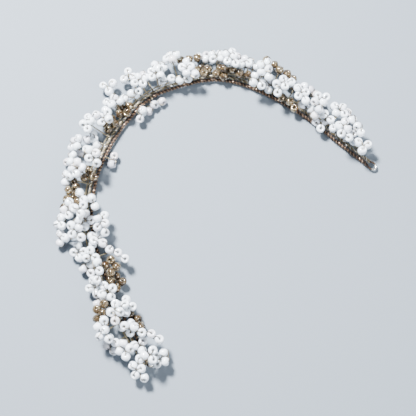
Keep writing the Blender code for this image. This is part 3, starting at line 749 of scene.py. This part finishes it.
def beadPlace(centre, axis, wide=1.0, tall=1.0, spin=0.0):
    turn = Vector(axis).to_track_quat("Z", "Y").to_matrix().to_4x4()
    size = Matrix.Diagonal((wide, wide, tall, 1.0))
    return Matrix.Translation(world(centre)) @ turn @ Matrix.Rotation(spin, 4, "Z") @ size


beadMasters = {
    "white": [modelBead("whiteBeadMaster", beadForm["sides"], beadForm["profile"], finishes["white"])],
    "gold": [
        modelBead("goldBeadMaster", beadForm["sides"], beadForm["profile"], finishes["gold"]),
        modelLining("liningMaster", beadForm["sides"], finishes["lining"]),
    ],
}


def makeCluster(name, node, group, look, dice):
    copies = []
    for sprig in group:
        sprig["sizes"] = []
        sprig["axes"] = [leant(axis, look, dice) for axis in sprig["axes"]]
        for offset, axis in zip(sprig["offsets"], sprig["axes"]):
            wide = 1 - dice.uniform(0, 2) * look["sizeSpread"]
            tall = 1 + dice.uniform(-1, 1) * look["heightSpread"]
            place = beadPlace(sprig["hub"] + offset, axis, wide, tall, dice.uniform(0, math.pi))
            # a random share of the beads get a greyer tone
            darkerAtRandom = dice.random() < look["flawShare"]
            toneAndPaintedShade = dice.uniform(0.35, 0.95) if darkerAtRandom else dice.uniform(0.0, 0.22)
            # painted shade: the lower a bead sits, the darker its tone
            toneAndPaintedShade += 0.6 * max(look["paintedShadeBelow"] - sprig["hub"][2] - offset[2], 0.0)
            hue = dice.uniform(0, 1)
            sprig["sizes"].append((wide, tall))
            for master in beadMasters[sprig["glass"]]:
                copy = placedCopy(master, place)
                paintTone(copy.data, "beadTone", toneAndPaintedShade)
                paintTone(copy.data, "beadHue", hue)
                copies.append(copy)
    cluster = joinCopies(name, copies)
    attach(cluster, "crown")
    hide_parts(node)
    "white_glass" if group[0]["glass"] == "white" else "gold_lined_glass"
    return cluster


dice = np.random.default_rng(11)
counts = {"white": 0, "gold": 0}
for number, (glass, _) in enumerate(clusters):
    counts[glass] += 1
    group = [sp for sp in sprigs if sp["cluster"] == number]
    makeCluster(f"{glass}Beads{counts[glass]:02d}", f"{glass}_bead_cluster_{counts[glass]:02d}", group,
                beadForm, dice)
print("crown: bead clusters strung")


# band

bandForm = {
    # the second inner winding is a thin dark wire sunk between the turns of the first: painted shade in the
    # gaps
    "inner": [(0.28, 1.6, 0, 0.0, "copperBrownWire"), (0.19, 1.6, 180, 0.16, "darkCopperAndGapShadeWire")],
    "outer": [
        (0.23, 5.2, 0, 0.14, "silveredAndPaintedHighlightWire"), (0.23, 5.2, 72, 0.2, "darkBrassWire"),
        (0.23, 5.2, 144, 0.14, "antiqueBrassWire"), (0.23, 5.2, 216, 0.2, "darkBrassWire"),
        (0.23, 5.2, 288, 0.14, "antiqueBrassWire"), (0.15, 2.9, 0, 0.0, "silveredAndPaintedHighlightWire"),
    ],
    "pastEnd": 1.3,
    "runWire": 0.2,
    "runPitch": 1.9,
    "coreStep": 2.0,
    # length of wire at each tip of the core given the silvered finish: a painted highlight
    "paintedHighlightTip": 1.7,
}


def strandLine(offset, start, end, step, height=bandSize["height"]):
    return [onBand(s, offset, height) for s in np.arange(start, end + step / 2, step)]


def makeCore(look):
    # one wire doubled back on itself with an eye at each end; the tip of each eye has the silvered finish as
    # a painted highlight, the rest is dark copper
    left, right = bandLength - bandSize["bindingEnd"], bandSize["bindingEnd"]
    outline = bandSize["eyeOutline"]
    eyes = []
    for start, way in ((left, 1), (right, -1)):
        side = [onBand(start + way * x, -way * y) for x, y in outline]
        other = [onBand(start + way * x, way * y) for x, y in reversed(outline[:-1])]
        eyes.append(side + other)
    inner = strandLine(-bandSize["strandOffset"], right, left, look["coreStep"])
    outer = strandLine(bandSize["strandOffset"], right, left, look["coreStep"])[::-1]
    loop = smoothLine(inner + eyes[0] + outer + eyes[1] + inner[:1], 4)[:-1]
    core = wirePiece("coreWire", [(loop, bandSize["coreRadius"], True)], finishes["silveredAndPaintedHighlightWire"], sides=6)
    core.data.materials.append(finishes["darkCopperAndGapShadeWire"])
    # painted highlight: the wire near each tip gets the silvered finish, the rest the dark copper finish
    tips = [world(onBand(s)) for s in (bandSize["bindingEnd"] - outline[-1][0], left + outline[-1][0])]
    bpy.ops.object.mode_set(mode="EDIT")
    selectPoints(core, lambda co: min((co - tip).length for tip in tips) > look["paintedHighlightTip"] * mm)
    core.active_material_index = 1
    bpy.ops.object.material_slot_assign()
    bpy.ops.object.mode_set(mode="OBJECT")
    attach(core, "crown")
    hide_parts("core_wire")


def makeBinding(name, node, offset, layers):
    # each layer is one wire wound round the strand: (radius, pitch, degrees, depth it sinks, finish)
    ends = bandSize["bindingEnd"] - bandForm["pastEnd"]
    line = strandLine(offset, ends, bandLength - ends, 1.0)
    windings = []
    for number, (wire, pitch, degrees, sunk, finish) in enumerate(layers):
        coil = helixAround(line, bandSize["bindingRadius"] - wire - sunk, pitch, 10, math.radians(degrees))
        windings.append(wirePiece(f"{name}{number + 1}", [(coil, wire, False)], finishes[finish]))
    binding = joinCopies(name, windings)
    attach(binding, "crown")
    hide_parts(node)


makeCore(bandForm)
strand = bandSize["strandOffset"]
makeBinding("innerBinding", "binding_wire_inner", -strand, bandForm["inner"])
makeBinding("outerBinding", "binding_wire_outer", strand, bandForm["outer"])
print("crown: band bound")


# stems and the wire loops that hold the beads

stemForm = {
    "wire": 0.17,
    "twist": 0.17,
    "twistPitch": 1.5,
    "loopWire": 0.16,
    "loopSteps": 4,
}


stemEnds = [("right", 82), ("top", 160), ("left", 260)]  # where each length of stem wire ends along the band


def beadLoop(sprig, offset, axis, wide, tall, look):
    # from under the bead up its hole, over the rim and down beside the sprig's middle
    centre = sprig["hub"] + offset
    under = sprig["hub"] - sprig["axis"] * stemSize["end"]
    inward = -offset - axis * (-offset @ axis)
    if np.linalg.norm(inward) < 0.5:
        inward = np.cross(axis, [0.3, 0.9, 0.1])
    inward = unit(inward)
    high = beadForm["halfHeight"] * tall
    rim = (beadSize["radius"] + beadForm["hole"]) / 2 * wide
    lift = look["loopWire"]
    points = [
        under,
        centre - axis * (high + lift * 3),
        centre - axis * high * 0.4,
        centre + axis * high * 0.75 + inward * 0.1,
        centre + axis * (high + lift) + inward * rim * 0.72,
        centre + axis * (high * 0.86 + lift) + inward * rim * 1.25,
        centre + axis * high * 0.1 + inward * (beadSize["radius"] * wide + lift * 1.4),
        centre - axis * high * 0.9 + inward * (beadSize["radius"] * wide + lift * 1.6),
        under + inward * 0.2,
    ]
    return smoothLine(points, look["loopSteps"])


def stemOf(sprig, leader):
    if sprig is leader:
        return stemLine(sprig, sprig["hub"])
    side = np.sign((sprig["hub"] - onBand(sprig["s"])) @ outward(sprig["s"])) or 1.0
    foot = onBand(sprig["s"], side * stemSize["liftOffset"], stemSize["liftHeight"] * 0.8)
    neck = sprig["hub"] - sprig["axis"] * stemSize["neck"]
    top = sprig["hub"] - sprig["axis"] * stemSize["end"]
    return [foot, neck, top] if neck[2] > 1.0 else [foot, top]


def makeStems(look):
    start = 0.0
    fixed = [sp for sp in sprigs if sp["leads"] and sp["arrangement"] != "free"]
    for name, end in stemEnds:
        leaders = [sp for sp in fixed if start <= sp["base"] < end]
        served = {sp["cluster"]: sp for sp in leaders}
        loops, twists = [], []
        for sprig in sprigs:
            if sprig["cluster"] not in served:
                continue
            leader = served[sprig["cluster"]]
            line = smoothLine(stemOf(sprig, leader), 6)
            for phase in (0.0, math.pi):
                coil = helixAround(line, look["twist"], look["twistPitch"], phase=phase)
                twists.append((coil, look["wire"], False))
            for offset, axis, (wide, tall) in zip(sprig["offsets"], sprig["axes"], sprig["sizes"]):
                loops.append((beadLoop(sprig, offset, axis, wide, tall, look), look["loopWire"], False))
        runStart, runEnd = max(start, 9.0), min(end, bandLength - 2)
        run = strandLine(stemSize["runOffset"], runStart, runEnd, 1.0)
        for phase in (0.0, math.pi):
            coil = helixAround(run, look["twist"] + 0.02, bandForm["runPitch"], phase=phase)
            twists.append((coil, bandForm["runWire"], False))
        stems = wirePiece(f"{name}Stems", twists, finishes["antiqueBrassWire"])
        petals = wirePiece(f"{name}BeadLoops", loops, finishes["petalWire"])
        for piece in (stems, petals):
            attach(piece, "crown")
        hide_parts(f"stem_wire_{name}")
        start = end


makeStems(stemForm)
print("crown: stems twisted")


# free flowers, whose beads turn


def makeFreeFlowers(look):
    master = modelBead("turningBeadMaster", 28, 12, finishes["white"])
    flowers = [sp for sp in sprigs if sp["arrangement"] == "free"]
    for number, flower in enumerate(flowers, start=1):
        hub, axis = flower["hub"], flower["axis"]
        over = axis * (beadForm["halfHeight"] + freeSize["loopClearance"] * 0.5)
        base = flower["base"]
        foot, neck = onBand(base, freeSize["footOffset"]), hub - axis * stemSize["neck"]
        stem = smoothLine([foot, neck, hub - axis * stemSize["end"]], 8)
        twists = [(helixAround(stem, look["twist"], look["twistPitch"], phase=p), look["wire"], False)
                  for p in (0.0, math.pi)]
        under = hub - axis * stemSize["end"]
        loops = []
        for letter, offset in zip("abc", flower["offsets"]):
            centre = hub + offset
            inward = -unit(offset)
            points = [
                under, centre - over, centre, centre + over, centre + over * 0.95 + inward * 1.1,
                centre + inward * (beadSize["radius"] + 0.35), centre - over * 0.8 + inward * 2.3, under,
            ]
            loops.append((smoothLine(points, look["loopSteps"]), look["loopWire"] * 1.1, False))
            bead = placedCopy(master, beadPlace(centre, axis, 1 - 0.03 * dice.random()))
            bead.name = f"freeBead{number}{letter}"
            paintTone(bead.data, "beadTone", dice.uniform(0, 0.2))
            paintTone(bead.data, "beadHue", dice.uniform(0, 1))
            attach(bead, f"turning_bead_{number}{letter}")
            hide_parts(f"turning_bead_{number}{letter}")
        wire = wirePiece(f"freeFlowerWire{number}", twists + loops, finishes["antiqueBrassWire"])
        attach(wire, "crown")
        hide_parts(f"flower_wire_{number}")
    bpy.data.objects.remove(master)


makeFreeFlowers(stemForm)
for masters in beadMasters.values():
    for master in masters:
        bpy.data.objects.remove(master)
print("crown: free flowers hung")


# floor, lights and camera

studio = {
    "floorSize": 20.0,
    # paler floor colour far from the crown: painted light
    "paintedLightFarFloor": (0.66, 0.70, 0.76),
    "floor": (0.20, 0.225, 0.255),
    "sky": (0.76, 0.86, 1.0),
    "skyStrength": 0.38,
    "distance": 0.4,
    "elevation": 73.0,
    "lens": 79.6,
    "lights": [
        ("keyLight", (-0.22, 0.30, 0.55), 0.12, 34.0, (0.90, 0.95, 1.0)),
        ("fillLight", (0.45, -0.30, 0.40), 0.40, 5.0, (0.86, 0.93, 1.0)),
    ],
}


def makeStudio(look):
    deselectAll()
    bpy.ops.mesh.primitive_plane_add(size=look["floorSize"])
    floor = bpy.context.object
    floor.name = "paleFloor"
    material, place, feed = newMaterial("paleFloor", {"Roughness": 0.8})
    mottle = place.noise(6.0, 3.0)
    near = mottle.ramp([(0.3, tuple(c * 0.97 for c in look["floor"])), (0.7, look["floor"])])
    # painted light: the floor turns paler with distance from where the crown lies, fading into the sky
    away = place.add("ShaderNodeVectorMath", {"operation": "LENGTH"}, {0: place}, output=1)
    far = place.add("ShaderNodeRGB", {}, {})
    far.socket.default_value = (*look["paintedLightFarFloor"], 1.0)
    feed(Base_Color=near.mixColour(place.math("MULTIPLY", away - 0.4, 0.6, clamp=True), far))
    floor.data.materials.append(material)
    sky = bpy.data.worlds.new("studioSky")
    sky.use_nodes = True
    background = sky.node_tree.nodes["Background"]
    background.inputs["Color"].default_value = (*look["sky"], 1.0)
    background.inputs["Strength"].default_value = look["skyStrength"]
    bpy.context.scene.world = sky
    for name, place, size, power, colour in look["lights"]:
        light = bpy.data.lights.new(name, "AREA")
        light.size, light.energy, light.color = size, power, colour
        lamp = bpy.data.objects.new(name, light)
        lamp.location = place
        lamp.rotation_euler = (-Vector(place)).to_track_quat("-Z", "Y").to_euler()
        bpy.context.scene.collection.objects.link(lamp)
    camera = bpy.data.objects.new("camera", bpy.data.cameras.new("camera"))
    camera.data.lens = look["lens"]
    rise = math.radians(look["elevation"])
    camera.location = world((0, 0, 0)) + Vector((0, -math.cos(rise), math.sin(rise))) * look["distance"]
    camera.rotation_euler = (math.pi / 2 - rise, 0, 0)
    bpy.context.scene.collection.objects.link(camera)
    bpy.context.scene.camera = camera


makeStudio(studio)
print("crown: studio set")
